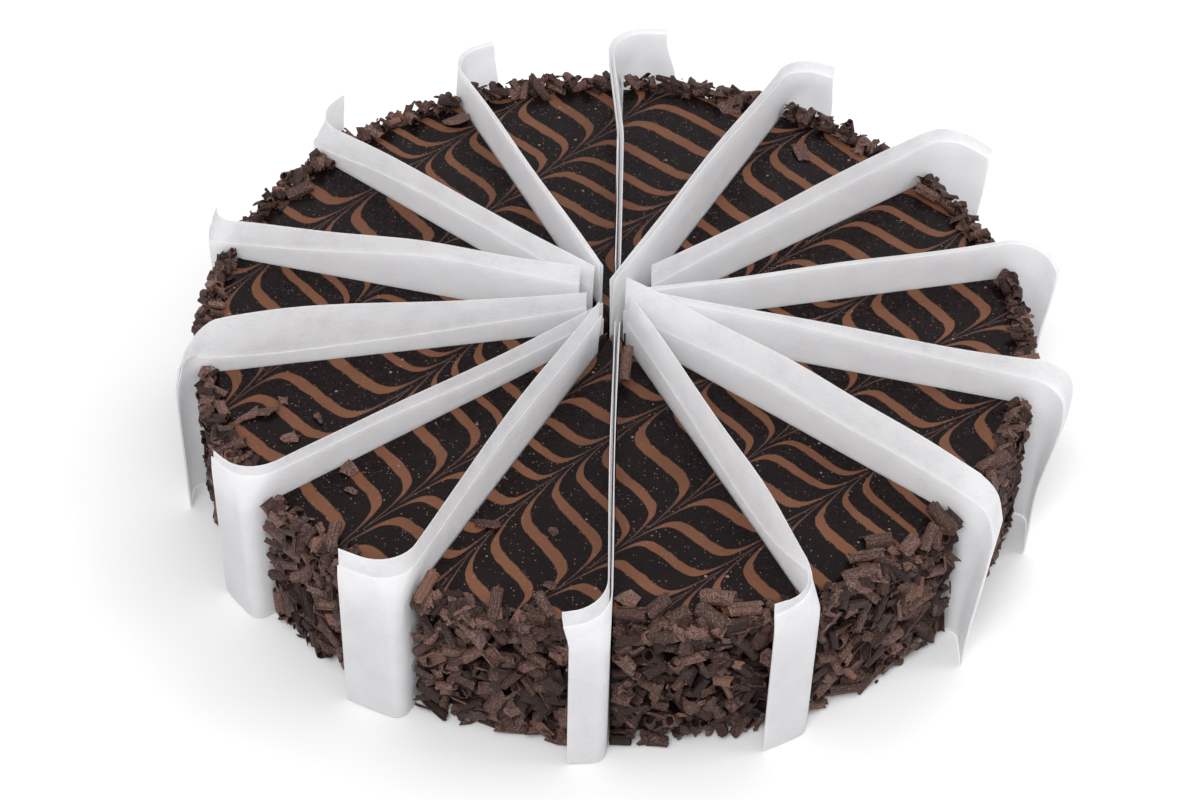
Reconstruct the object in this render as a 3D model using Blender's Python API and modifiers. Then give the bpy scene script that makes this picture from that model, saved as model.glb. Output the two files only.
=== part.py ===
"""A round chocolate truffle cake, cut into fourteen slices, with a folded sheet of waxed paper in every cut.

Metres, +Z up, origin at the centre of the cake's underside, the front of the cake towards -Y.
Bearings are measured in the ground plane from the front (-Y), clockwise as seen from above.
"""

import math

import bmesh
import bpy
from mathutils import Vector

# The cake
SLICES = 14
CAKE_RADIUS = 0.1240  # over the coat of chocolate curls
CAKE_HEIGHT = 0.0450  # to the flat glaze
GLAZE_RADIUS = 0.1120  # where the flat glaze ends and the rim of curls begins
RIM_RISE = 0.0022  # how far the curls on the rim stand above the glaze
COAT_UNEVEN = 0.0009  # how far the coat swells and sinks round the side
CUT_HALF_WIDTH = 0.0006  # from the middle of a cut to the slice beside it
ROUND_STEPS = 140  # facets round the whole cake

# The paper dividers
PAPER_THICKNESS = 0.0005  # both layers of the folded sheet pressed together
PAPER_FOLD_START = 0.1252  # the sheet leaves the cut here and turns along the side
PAPER_FOLD_RADIUS = 0.0036
LOOSE_FOLD_START = 0.1165  # above the cake the same fold is wide and soft
LOOSE_FOLD_RADIUS = 0.0115
TIGHT_UP_TO = 0.0495  # height to which the cake shapes the fold
LOOSE_FROM = 0.0560  # height above which the fold is loose
FIRST_BEARING = math.radians(-0.5)

# One row for each divider, clockwise from the front, as the real ones stand:
# turned from its even place (degrees), inner end from the centre, top above the glaze,
# length beyond the start of the fold, and how far the flap folds over (degrees, negative
# where it folds the other way).
DIVIDERS = (
    (0.0, 0.0155, 0.0150, 0.0125, 84),
    (0.0, 0.0125, 0.0180, 0.0195, 86),
    (-0.5, 0.0050, 0.0145, 0.0175, 86),
    (1.0, 0.0090, 0.0200, 0.0155, -67),
    (0.5, 0.0115, 0.0175, 0.0125, 70),
    (1.0, 0.0095, 0.0170, 0.0175, 86),
    (0.2, 0.0105, 0.0145, 0.0185, 86),
    (0.0, 0.0090, 0.0180, 0.0205, 88),
    (0.2, -0.0035, 0.0205, 0.0165, 82),
    (0.9, 0.0130, 0.0175, 0.0195, 80),
    (-0.6, 0.0045, 0.0150, 0.0185, 88),
    (0.6, 0.0050, 0.0155, 0.0180, 86),
    (-0.3, 0.0030, 0.0200, 0.0135, 50),
    (0.0, 0.0075, 0.0175, 0.0170, 84),
)

# How finely a sheet is divided: along the straight run, round the fold and along the flap
STRAIGHT_PARTS = 3
FOLD_PARTS = 5
FLAP_PARTS = 3

COLLECTION = "chocolate_truffle_cake"
GUIDES = "cutters_and_guides"


def clear_scene():
    for thing in list(bpy.data.objects):
        bpy.data.objects.remove(thing, do_unlink=True)


def new_collection(name):
    collection = bpy.data.collections.new(name)
    bpy.context.scene.collection.children.link(collection)
    return collection


def finish(name, colour, roughness):
    material = bpy.data.materials.new(name)
    material.use_nodes = True
    shader = material.node_tree.nodes["Principled BSDF"]
    shader.inputs["Base Color"].default_value = (*colour, 1.0)
    shader.inputs["Roughness"].default_value = roughness
    shader.inputs["Metallic"].default_value = 0.0
    material.diffuse_color = (*colour, 1.0)
    return material


def bearing_of(divider):
    """The bearing of a divider's cut, counted clockwise from the front."""
    divider = divider % SLICES
    return FIRST_BEARING + math.tau * divider / SLICES + math.radians(DIVIDERS[divider][0])


def outward(bearing):
    return Vector((-math.sin(bearing), -math.cos(bearing), 0.0))


def clockwise(bearing):
    return Vector((-math.cos(bearing), math.sin(bearing), 0.0))


# ---------------------------------------------------------------- the cake


def cake_profile():
    """Half the cake's section as (radius, height), from the middle of the top down to the middle of the base."""
    side = CAKE_RADIUS
    top = CAKE_HEIGHT
    crest = top + RIM_RISE
    return [
        (0.0, top),
        (0.40 * side, top),
        (0.75 * side, top),
        (GLAZE_RADIUS, top),
        (GLAZE_RADIUS + 0.0025, crest - 0.0003),
        (GLAZE_RADIUS + 0.0060, crest),
        (side - 0.0027, top - 0.0003),
        (side - 0.0008, top - 0.0045),
        (side, top - 0.0105),
        (side + 0.0003, 0.50 * top),
        (side, 0.20 * top),
        (side - 0.0012, 0.0),
        (0.50 * side, 0.0),
        (0.0, 0.0),
    ]


def coat_swell(bearing, height):
    """The gentle unevenness of a coat pressed on by hand, from -1 to 1."""
    rough = math.sin(9 * bearing + 70 * height) + 0.7 * math.sin(23 * bearing + 1.3)
    rough += 0.5 * math.sin(37 * bearing - 120 * height + 0.4)
    return rough / 2.2


def whole_cake(collection):
    """The uncut cake: its section turned about Z, with the coat made uneven."""
    mesh = bpy.data.meshes.new("cake_profile")
    points = [(radius, 0.0, height) for radius, height in cake_profile()]
    mesh.from_pydata(points, [(i, i + 1) for i in range(len(points) - 1)], [])
    turned = bpy.data.objects.new("whole_cake", mesh)
    collection.objects.link(turned)
    screw = turned.modifiers.new("turn", "SCREW")
    screw.axis = "Z"
    screw.angle = math.tau
    screw.steps = ROUND_STEPS
    screw.render_steps = ROUND_STEPS
    screw.use_merge_vertices = True
    screw.merge_threshold = 0.0001
    turned.hide_render = True
    turned.display_type = "WIRE"
    bpy.context.view_layer.update()
    graph = bpy.context.evaluated_depsgraph_get()
    solid = bpy.data.meshes.new_from_object(turned.evaluated_get(graph))
    for vertex in solid.vertices:
        place = vertex.co
        radius = math.hypot(place.x, place.y)
        if radius < GLAZE_RADIUS + 0.001:
            continue
        bearing = math.atan2(-place.x, -place.y)
        swell = COAT_UNEVEN * coat_swell(bearing, place.z)
        share = min(1.0, (radius - GLAZE_RADIUS) / (CAKE_RADIUS - GLAZE_RADIUS))
        on_rim = place.z > CAKE_HEIGHT + 0.001
        place.x *= 1.0 + share * swell / radius
        place.y *= 1.0 + share * swell / radius
        if on_rim:
            place.z += 0.7 * swell
    return solid


def cut_away(shape, bearing, side):
    """Removes what lies on one side (-1 or 1, clockwise) of a cut, and closes the cut face."""
    across = clockwise(bearing) * side
    everything = shape.verts[:] + shape.edges[:] + shape.faces[:]
    bmesh.ops.bisect_plane(
        shape,
        geom=everything,
        dist=1e-6,
        plane_co=across * -CUT_HALF_WIDTH,
        plane_no=across,
        clear_outer=True,
    )
    rim = [edge for edge in shape.edges if edge.is_boundary]
    bmesh.ops.holes_fill(shape, edges=rim, sides=0)


def add_slice(number, solid, collection, looks):
    """The slice between one divider and the next, clockwise."""
    shape = bmesh.new()
    shape.from_mesh(solid)
    cut_away(shape, bearing_of(number), -1)
    cut_away(shape, bearing_of(number + 1), 1)
    bmesh.ops.recalc_face_normals(shape, faces=shape.faces[:])
    for face in shape.faces:
        middle = face.calc_center_median()
        flat_top = face.normal.z > 0.99 and middle.z > 0.5 * CAKE_HEIGHT
        face.material_index = 0 if flat_top else 1
    mesh = bpy.data.meshes.new(f"slice_{number + 1:02d}")
    shape.to_mesh(mesh)
    shape.free()
    for look in looks:
        mesh.materials.append(look)
    piece = bpy.data.objects.new(mesh.name, mesh)
    collection.objects.link(piece)
    return piece


# ---------------------------------------------------------------- the paper dividers


def fold_path(inner, start, radius, reach, turn):
    """A sheet's plan: places as (outward, clockwise) along the straight run, round the fold and along the flap.

    reach is the length beyond the start of the fold at the outside of the cake."""
    way = math.copysign(1.0, turn)
    turn = abs(turn)
    places = [(inner + (start - inner) * part / STRAIGHT_PARTS, 0.0) for part in range(STRAIGHT_PARTS)]
    for part in range(FOLD_PARTS + 1):
        angle = turn * part / FOLD_PARTS
        places.append((start + radius * math.sin(angle), way * radius * (1.0 - math.cos(angle))))
    flap = reach - (start - PAPER_FOLD_START) - radius * turn
    step = max(flap, 0.002) / FLAP_PARTS
    heading = turn
    for _ in range(FLAP_PARTS):
        heading += 0.5 * step / CAKE_RADIUS
        along, across = places[-1]
        places.append((along + step * math.cos(heading), across + way * step * math.sin(heading)))
        heading += 0.5 * step / CAKE_RADIUS
    return places


def sheet_rows(divider):
    """The sheet's horizontal rows from the base up: (height, share of the loose fold)."""
    top = CAKE_HEIGHT + DIVIDERS[divider][2]
    return [(0.0, 0.0), (TIGHT_UP_TO, 0.0), (LOOSE_FROM, 0.7), (top, 1.0)]


def add_divider(number, collection, look):
    """A sheet folded double and stood in its cut, with its outer end folded along the side of the cake."""
    _, inner, _, reach, turn_deg = DIVIDERS[number]
    turn = math.radians(turn_deg)
    tight = fold_path(inner, PAPER_FOLD_START, PAPER_FOLD_RADIUS, reach, turn)
    loose = fold_path(inner, LOOSE_FOLD_START, LOOSE_FOLD_RADIUS, reach, turn)
    rows = sheet_rows(number)
    bearing = bearing_of(number)
    away, round_ = outward(bearing), clockwise(bearing)
    shape = bmesh.new()
    below = None
    for height, looseness in rows:
        line = []
        for (along, across), (far, over) in zip(tight, loose):
            place = away * (along + looseness * (far - along)) + round_ * (across + looseness * (over - across))
            line.append(shape.verts.new((place.x, place.y, height)))
        if below:
            for i in range(len(line) - 1):
                shape.faces.new((below[i], below[i + 1], line[i + 1], line[i]))
        below = line
    bmesh.ops.recalc_face_normals(shape, faces=shape.faces[:])
    mesh = bpy.data.meshes.new(f"divider_{number + 1:02d}")
    shape.to_mesh(mesh)
    shape.free()
    mesh.materials.append(look)
    piece = bpy.data.objects.new(mesh.name, mesh)
    collection.objects.link(piece)
    wall = piece.modifiers.new("thickness", "SOLIDIFY")
    wall.thickness = PAPER_THICKNESS
    wall.offset = 0.0
    return piece


def main():
    clear_scene()
    cake = new_collection(COLLECTION)
    guides = new_collection(GUIDES)
    glaze = finish("dark_feathered_glaze", (0.022, 0.011, 0.009), 0.16)
    curls = finish("chocolate_curl_coat", (0.070, 0.036, 0.029), 0.60)
    paper = finish("waxed_paper", (0.86, 0.86, 0.88), 0.55)
    solid = whole_cake(guides)
    for number in range(SLICES):
        add_slice(number, solid, cake, (glaze, curls))
    bpy.data.meshes.remove(solid)
    for number in range(SLICES):
        add_divider(number, cake, paper)


main()
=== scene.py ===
"""A round chocolate truffle cake, cut into fourteen slices, with a folded sheet of waxed paper in every cut.

Metres, +Z up, the middle of the cake's underside at the origin, its front towards -Y.
Bearings are measured in the ground plane from the front (-Y), clockwise as seen from above.
"""

import math
import random

import bmesh
import bpy
import numpy as np
from bpy.props import FloatProperty, FloatVectorProperty, IntProperty, PointerProperty
from mathutils import Matrix, Vector


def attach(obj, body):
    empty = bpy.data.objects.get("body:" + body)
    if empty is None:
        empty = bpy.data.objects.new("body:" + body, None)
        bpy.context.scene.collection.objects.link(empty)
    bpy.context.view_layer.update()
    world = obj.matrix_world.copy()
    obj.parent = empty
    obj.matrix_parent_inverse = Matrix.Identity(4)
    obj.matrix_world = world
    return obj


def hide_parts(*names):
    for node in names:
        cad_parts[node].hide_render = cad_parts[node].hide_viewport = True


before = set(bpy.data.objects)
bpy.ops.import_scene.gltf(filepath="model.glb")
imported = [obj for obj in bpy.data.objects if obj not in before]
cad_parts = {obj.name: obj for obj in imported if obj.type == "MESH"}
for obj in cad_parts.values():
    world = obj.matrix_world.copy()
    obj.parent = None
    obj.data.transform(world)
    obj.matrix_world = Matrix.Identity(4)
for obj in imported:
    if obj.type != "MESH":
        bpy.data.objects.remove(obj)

bl_info = {
    "name": "Chocolate truffle cake",
    "version": (1, 0, 0),
    "blender": (4, 5, 0),
    "location": "View3D > Sidebar > Cake",
    "description": "A sliced chocolate cake with feathered glaze, chocolate curls and paper dividers",
    "category": "Add Mesh",
}

MM = 0.001
UP = Vector((0.0, 0.0, 1.0))
SLICES = 14
FIRST_BEARING = -0.5  # degrees, the first divider's

# The cake before it is cut
AROUND = 280  # points round it
RING_STEP = 2.5 * MM  # between the rings of points on the glaze
SIDE_RADIUS = 118.4  # mm
EDGE_PROFILE = (  # (radius, below the glaze), mm: the glaze rolls over the edge and runs down the side
    (117.2, 0.3),
    (117.9, 1.1),
    (118.2, 2.4),
    (118.3, 5.0),
    *((SIDE_RADIUS, below) for below in range(9, 38, 4)),
    (118.3, 41.0),
    (118.0, 43.8),
    (116.5, 44.8),
)
BASE_RINGS = (90, 60, 30)  # mm
BACK_SWELL = 2.8 * MM  # how much wider the cake is at the back
SWELLS_FROM = 100 * MM  # the top widens from here
SWELLS_OVER = 16 * MM  # and has widened in full this much further out
ROUGH_SIDE_FROM = 115 * MM  # the side further out than this is uneven
ROUGHNESS_ACROSS = 5 * MM
TOP_DEPTH = 1.2 * MM  # glaze no deeper than this below the top has the feathered lines

# The feathered lines. Seen from above, "along" runs towards the back right and "across" towards the
# front right, mm from the middle. Each comb stroke is given by where it lies across at four places along.
STROKE_PLACES = (-90, -30, 30, 90)
COMB_STROKES = (
    (-118, -128, -133, -136),
    (-86, -96, -101, -104),
    (-52.5, -62, -68.5, -75),
    (-17.5, -23.5, -29.5, -30.5),
    (13.5, 12, 12, 11.5),
    (40, 34, 38, 41),
    (66, 66, 66.5, 75.5),
    (88, 91, 93.5, 106),
    (120, 123, 125, 138),
)
FIRST_STROKE = -1  # strokes with an even number were drawn towards the back right
# Each piped line crosses the middle of its bands here, mm along: at the left, in the middle, at the right
PIPED_AT = (-83, 0, 80)
PIPED_LINES = (
    (-109, -111, -116),
    (-95, -97, -102),
    (-83.5, -86, -91),
    (-70, -72.5, -79),
    (-57, -59.5, -66),
    (-48.5, -51, -55),
    (-39, -41.5, -44),
    (-27, -29.5, -30.5),
    (-11, -13.5, -16),
    (-2, -3.5, -5),
    (6.5, 5.5, 3),
    (16, 17, 13),
    (27.5, 30, 25),
    (39.5, 42, 35),
    (50, 53, 48),
    (63, 64.5, 61),
    (77, 79.5, 74),
    (89, 92, 88),
    (101, 103.5, 100),
    (113, 115.5, 112),
)

# How many piped lines a stroke drags across at its middle, and how quickly that fades towards the next
SHARP_PULL = (1.25, 24.0)
WIDE_PULL = (0.45, 9.0)

# Small touches of colour
CRUMB_DUST = (0.23, 0.150, 0.112)
SIDE_GLAZE = (0.020, 0.014, 0.014)  # where it is paler
# painted shade in the cake's air holes
TRUFFLE_HOLE_SHADE = (0.012, 0.006, 0.005)
PAPER_CLOUDS = (0.62, 0.62, 0.64)
PAPER_EDGE = (0.92, 0.92, 0.93)

# The paper dividers
FOLD_START = 125.2 * MM  # outside the coat, a sheet leaves its cut here
FOLD_RADIUS = 3.6 * MM
LOOSE_START = 116.5 * MM  # above the cake the fold is wide and soft
LOOSE_RADIUS = 11.5 * MM
LOOSENING = (47.0 * MM, 57.0 * MM)  # heights between which it loosens
STRAIGHT_COLUMNS = 26
FOLD_COLUMNS = 9
FLAP_COLUMNS = 8
LAYER_ROWS = 15
SHEET_BASE = 0.35 * MM  # height of the folded bottom edge
LAYER_GAP = 0.22 * MM  # between the middle of the cut and a layer, in the cake
OPENS_BY = 18 * MM  # height above the glaze at which the layers stand apart as their row says
LEANS_BY = 12 * MM  # height above the glaze at which a leaning end leans in full
SWAY = 0.07  # how far the sheets wander from side to side, as a share of the height above the glaze
RIPPLE = 0.35 * MM  # of the top edges
PAPER_SEED = 40
COAT_SEED = 7
LAYER_STATIONS = (0.0, 0.45, 0.80, 1.0)  # shares of the straight run; one more station is the free end
# One row for each divider, clockwise from the front: turned from its even place (degrees), inner end (mm
# from the middle), how far it folds over (degrees, negative the other way), flap (mm past the start of the
# fold), how far its layers stand apart at the top (mm), then the top edge of the layer on its anticlockwise
# side and of the one on its clockwise side, mm above the glaze at each of the stations
DIVIDERS = (
    (0.0, 15.5, 84, 12.5, 1.2, (15, 15, 15, 11, 10), (15, 15, 15, 15, 14)),
    (0.0, 12.5, 86, 19.5, 0.8, (14, 13, 10, 9, 9), (19, 18.5, 15, 13.5, 14)),
    (-0.5, 5.0, 86, 17.5, 0.8, (5.5, 7, 9, 10, 9), (11, 11, 11.5, 13, 11)),
    (1.0, 9.0, -80, 12.5, 0.8, (9, 4.5, 4, 6, 12), (14, 16, 20, 20, 8)),
    (0.5, 11.5, 70, 12.5, 0.8, (14, 13.5, 8, 4, 3), (19.5, 18, 15.5, 13.5, 9)),
    (1.0, 9.5, 86, 17.5, 0.8, (10, 9, 8, 3, 3), (17, 16, 15.5, 14, 14)),
    (0.2, 10.5, 86, 18.5, 0.8, (16, 15, 13.5, 13, 13), (15, 14, 13, 12, 12)),
    (0.0, 9.0, 88, 20.5, 1.2, (18, 18, 18, 18, 18), (17, 17, 17, 17, 17)),
    (0.2, -3.5, 82, 16.5, 0.8, (20, 20.5, 20, 20.5, 18.5), (20, 20, 19, 16.5, 14.5)),
    (0.9, 13.0, 80, 19.5, 0.8, (17, 16.5, 19, 20, 19), (10, 12, 14.5, 15, 15)),
    (-0.6, 4.5, 88, 18.5, 0.6, (12.5, 13, 13.5, 14, 14), (12, 12.5, 13, 13, 13)),
    (0.6, 5.0, 84, 18.0, 1.2, (15, 15, 15, 16, 19.5), (13.5, 13, 11, 9, 9)),
    (-0.3, 3.0, 50, 13.5, 1.0, (20, 21.5, 21, 17, 16), (8, 11, 10, 8, 7)),
    (0.0, 7.5, 84, 17.0, 0.8, (17, 18.5, 18.5, 12, 10), (8, 5, 3, 10, 13)),
)
# Dividers whose loose fold starts further out, and goes on down the side: its start and lowest height (mm)
FLARED = {6: (121.5, 40.0), 9: (120.5, 30.0), 10: (119.5, 30.0), 11: (121.5, 20.0), 12: (124.5, 0.0)}
LEANING = {7: -3.5}  # dividers whose outer end leans clockwise at the top (mm, negative the other way)

# The coat of curls lies on the glazed side and over the edge of the top
SIDE_DEPTH = 5.6 * MM  # from the glazed side out to the tops of the curls
CELL = 1.0 * MM  # of the grid of heights on which they come to lie
CUT_ROOM = 0.8 * MM  # nothing of the coat comes nearer a cut's middle
COAT_REACH = 124.9 * MM  # nor further out
# The row along the edge of the top
RIM_BED = (109 * MM, 125 * MM)
RIM_MIDDLE = 118 * MM
RIM_FALLS_FROM = 117 * MM
RIM_FALL = 3.0 * MM / (8.0 * MM)  # how steeply the edge falls
RIM_INNER = 117.8  # mm, the row's inner side at the front
RIM_INNER_BACK = 1.2  # mm, how much further out that is at the back
RIM_OUTER = 124.5 * MM
RIM_DENSEST = 121.0 * MM  # how far out most of its pieces fall
RIM_FLAT = 0.7 * MM  # no piece on the row's inner side stands higher than this
RIM_HEIGHT = (0.8, 3.2)  # mm, of the row at the front, and how much more at the back
BACK_BEARINGS = (0.4 * math.pi, 1.6 * math.pi)  # between these, small pieces are tucked in under the row
# Kinds of piece: (least, most) length and width, as shares of a common roll's
KINDS = {
    "rolled": ((0.68, 1.22), (0.70, 1.12)),
    "open": ((0.60, 1.20), (0.75, 1.30)),
    "shard": ((0.30, 0.85), (0.30, 0.75)),
    "crumb": ((0.08, 0.26), (0.15, 0.42)),
}
SHARD_THICKNESS = 0.13  # as a share of a common roll's diameter
# How common the kinds are, in that order: in each quarter of the pieces dropped on the side, and on the rim
SIDE_MIX = ((8, 3, 1, 1), (8, 3, 1, 1), (6, 4, 3, 2), (3, 2, 4, 3))
RIM_MIX = (4, 3, 4, 2)

FLOOR_RADIUS = 5.0  # m

# The lights: their place, and their size across, m
LIGHTS = {
    "key_light": ((1.50, 0.05, 1.35), 0.8),
    "fill_light": ((-0.25, -1.25, 1.7), 0.8),
    "back_light": ((0.60, 1.30, 1.15), 1.3),
}

# The camera: its place (m), how far it looks down and to the left, and how far it leans to the left (degrees)
CAMERA_PLACE = (0.0, -0.5492, 0.5227)
CAMERA_DOWN = 42.76
CAMERA_LEFT = 0.423
CAMERA_TILT = 1.639

# Curls and flakes that stand out, each laid one by one: kind, middle (mm to the right, to the back, above
# the glaze), heading and rise of its length (degrees), length and width (mm)
STANDING_OUT = (
    ("rolled", 3.2, -22.5, 5, 84, 32, 9.5, 3.6),
    ("shard", -103.5, -45, 0.7, 35, 4, 7.5, 3.4),
    ("shard", -98.8, -43, 1, 2, 6, 7, 3),
    ("shard", -94, -38, 0.6, 100, 3, 3, 1.8),
    ("shard", -83, -45, 0.6, 120, 4, 4, 2),
    ("shard", -90, -53, 0.6, 10, 4, 4, 2.2),
    ("shard", -73, -64, 0.6, 60, 4, 4, 2.6),
    ("shard", -71, -73, 0.6, 150, 4, 3, 1.6),
    ("shard", -33, -84, 0.6, -8, 3, 6.5, 2),
    ("shard", -15, -86, 0.6, 120, 4, 2.5, 1.6),
    ("shard", -15, -106, 0.7, 140, 4, 2.8, 1.8),
    ("rolled", -47.5, -109.5, 2.2, 59, 32, 8.6, 3.4),
    ("rolled", -29, -115, 2.6, 78, 42, 8, 3.3),
    ("rolled", -16.5, -114, 2.2, 131, 38, 6.6, 3.2),
    ("rolled", -43.5, -114.6, -1.6, -50, -30, 9, 3.4),
    ("open", -35, -117, -5.6, -33, -34, 10, 4.6),
    ("rolled", -74, -92.5, 2, 75, 40, 8, 3.3),
    ("rolled", 6.7, -116.5, 1.6, -8, 8, 7.5, 3.9),
    ("rolled", 13.5, -114, 2.2, 42, 12, 7, 3.9),
    ("shard", 5.4, -110, 0.8, 150, 6, 4.5, 3),
    ("rolled", 29.8, -110, 2, -14, 8, 8.5, 4.2),
    ("rolled", 36.6, -113.4, 1.8, 5, 6, 8, 3.8),
    ("open", 27.9, -115.6, 1, -38, -10, 8.5, 4.4),
    ("open", 18.6, -115.4, 1, 35, 5, 6.5, 4),
    ("rolled", 25.7, -118.8, -1, 110, 35, 6, 3.2),
    ("open", 20.5, -118.6, -1.5, 22, 0, 7, 3.6),
    ("open", 72.9, -85.5, 1.2, 10, 6, 8.5, 4.2),
    ("rolled", 81, -88.5, 2, 50, 15, 5.5, 4.2),
    ("rolled", 90.5, -77.5, 2, 128, 20, 9, 4),
    ("rolled", 86.5, -85.5, 2.6, 62, 35, 7, 3.3),
    ("rolled", 89.5, -85.5, 1, 80, 45, 4.5, 3.2),
    ("rolled", 69.1, -92.5, 1.6, 12, 4, 9, 3.2),
    ("rolled", 67.4, -98.4, 0.6, 22, 0, 9, 4),
    ("rolled", 107, -55, 1.8, 28, 12, 9.5, 4),
    ("open", 113.5, -40.5, 1.2, 25, 10, 8, 3.6),
    ("rolled", 107, -61.5, 0.4, 100, 45, 6, 3),
    ("shard", 58, 87, 0.9, 100, 8, 7, 3.2),
    ("shard", 36, 112, 1.4, 10, 5, 8, 5.5),
    ("rolled", 97, 66, 2.2, 150, 12, 8, 3.4),
    ("rolled", -28, 115, 3, 140, 35, 9, 3.2),
    ("open", -101, 58, 2, 30, 10, 8, 4),
    ("shard", -52, 99, 1.6, 30, 6, 7, 4),
)


# -------- sizes and colours


def length_setting(name, description, default):
    return FloatProperty(name=name, description=description, default=default, unit="LENGTH")


def colour_setting(name, description, default):
    return FloatVectorProperty(name=name, description=description, default=default, subtype="COLOR", size=3)


class CakeSettings(bpy.types.PropertyGroup):
    """The slices and their glaze."""

    glaze_height: length_setting("Glaze height", "From the floor to the flat glaze", 0.045)
    glaze_edge: length_setting("Glaze edge", "Radius where the glaze starts to roll over", 0.1165)
    half_cut: length_setting("Half cut", "From the middle of a cut to the slice beside it", 0.0009)
    relief: length_setting("Side relief", "How uneven the glazed side is", 0.0012)
    glaze: colour_setting("Glaze", "Dark glaze", (0.0072, 0.0042, 0.0044))
    piped: colour_setting("Piped lines", "Milk chocolate lines", (0.150, 0.063, 0.035))
    dragged: colour_setting("Dragged lines", "Their thin dragged tails", (0.085, 0.045, 0.037))
    truffle: colour_setting("Truffle", "Dense cake inside", (0.045, 0.022, 0.015))


class CurlSettings(bpy.types.PropertyGroup):
    """The chocolate curls, shards and crumbs."""

    drops: IntProperty(name="Drops", description="Pieces dropped on the side of the cake", default=7000)
    rim_drops: IntProperty(name="Rim drops", description="Pieces dropped along the top's edge", default=3000)
    back_drops: IntProperty(name="Back drops", description="Small pieces tucked in at the back", default=700)
    roll_length: length_setting("Roll length", "Length of a common rolled curl", 0.0074)
    roll_across: length_setting("Roll across", "Diameter of a common rolled curl", 0.0034)
    plain: colour_setting("Curls", "Chocolate of the curls", (0.054, 0.0225, 0.0165))
    bloom: colour_setting("Bloom", "Dusty bloom on them", (0.320, 0.205, 0.172))
    cool: colour_setting("Cool", "Greyer chocolate of some curls", (0.034, 0.021, 0.020))
    fresh: colour_setting("Fresh breaks", "Redder broken edges", (0.170, 0.078, 0.048))


class PaperSettings(bpy.types.PropertyGroup):
    """The folded sheets between the slices."""

    wall: length_setting("Paper", "Thickness of one layer", 0.00016)
    sheet: colour_setting("Sheet", "Waxed paper", (0.955, 0.955, 0.960))
    # painted shade: one layer standing alone is greyer, as if the dark cake showed through it
    single: colour_setting("Single layer", "Where one layer stands alone", (0.90, 0.90, 0.91))
    glow: FloatProperty(
        name="Glow", description="Share of the light that shines through", default=0.52, min=0.0, max=1.0
    )


class StudioSettings(bpy.types.PropertyGroup):
    """The floor, the lights and the camera."""

    floor: colour_setting("Floor", "Pale floor", (0.825, 0.825, 0.83))
    sky: FloatProperty(name="Surroundings", description="Strength of the pale surroundings", default=0.78)
    key: FloatProperty(name="Key light", description="Watts of the soft light at the right", default=8.5)
    fill: FloatProperty(name="Fill light", description="Watts of the soft light at the front", default=23.0)
    back: FloatProperty(name="Back light", description="Watts of the soft light behind the cake", default=9.5)
    lens: FloatProperty(name="Lens", description="Focal length", default=73.6, min=1.0, unit="CAMERA")


# -------- places on the cake


def bearing_of(divider):
    """The bearing of a divider's cut, clockwise from the front."""
    turned = DIVIDERS[divider % SLICES][0]
    return math.radians(FIRST_BEARING + turned) + math.tau * divider / SLICES


def back_share(bearing):
    """0 at the front of the cake, 1 at the back."""
    return 0.5 - 0.5 * math.cos(bearing)


def back_swell(bearing):
    """The cake under the curls is wider towards the back, where the coat is thinner."""
    return BACK_SWELL * back_share(bearing)


def outward(bearing):
    return Vector((-math.sin(bearing), -math.cos(bearing), 0.0))


def clockwise(bearing):
    return Vector((-math.cos(bearing), math.sin(bearing), 0.0))


def place_at(bearing, out, height):
    return outward(bearing) * out + UP * height


def swung(first, second, angle):
    """The first direction, swung by an angle towards the second."""
    return first * math.cos(angle) + second * math.sin(angle)


def scaled(parts, share):
    """A darker or lighter version of a colour, or a smaller one of a size."""
    return tuple(share * part for part in parts)


def limited(value):
    """The value, kept between 0 and 1."""
    return min(1.0, max(0.0, value))


# -------- modelling helpers


def deselect_all():
    bpy.ops.object.select_all(action="DESELECT")


def make_active(piece):
    deselect_all()
    piece.select_set(True)
    bpy.context.view_layer.objects.active = piece


def apply_modifier(piece, kind, **settings):
    modifier = piece.modifiers.new(kind.lower(), kind)
    for setting, value in settings.items():
        setattr(modifier, setting, value)
    make_active(piece)
    bpy.ops.object.modifier_apply(modifier=modifier.name)


def select_rim(beyond):
    """Selects the open edges of the mesh being edited that lie further out than this."""
    mesh = bpy.context.object.data
    bpy.ops.mesh.select_all(action="DESELECT")
    for edge in bmesh.from_edit_mesh(mesh).edges:
        middle = (edge.verts[0].co + edge.verts[1].co) / 2
        if edge.is_boundary and middle.xy.length > beyond:
            edge.select_set(True)
    bmesh.update_edit_mesh(mesh)


def extrude_ring(old, new):
    """Extrudes the selected ring from one (radius, height) to another."""
    bpy.ops.mesh.extrude_region_move()
    scale = new[0] / old[0]
    bpy.ops.transform.resize(value=(scale, scale, 1.0), center_override=(0.0, 0.0, old[1]))
    bpy.ops.transform.translate(value=(0.0, 0.0, new[1] - old[1]))


def edit_all(piece):
    """Edit mode with the whole of the piece's mesh selected."""
    make_active(piece)
    bpy.ops.object.mode_set(mode="EDIT")
    bpy.ops.mesh.select_all(action="SELECT")


def face_outwards():
    """Turns the faces of the mesh being edited outwards, and leaves edit mode."""
    bpy.ops.mesh.select_all(action="SELECT")
    bpy.ops.mesh.normals_make_consistent(inside=False)
    bpy.ops.object.mode_set(mode="OBJECT")


def smooth_to(piece, degrees):
    """Smooth shading, with sharp edges where faces meet at more than so many degrees."""
    make_active(piece)
    bpy.ops.object.shade_smooth_by_angle(angle=math.radians(degrees))


def set_attribute(piece, name, values):
    """Gives each point of a piece its own number or vector."""
    kind, field = ("FLOAT", "value") if values.ndim == 1 else ("FLOAT_VECTOR", "vector")
    attribute = piece.data.attributes.new(name, kind, "POINT")
    attribute.data.foreach_set(field, values.ravel())


# -------- materials


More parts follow.
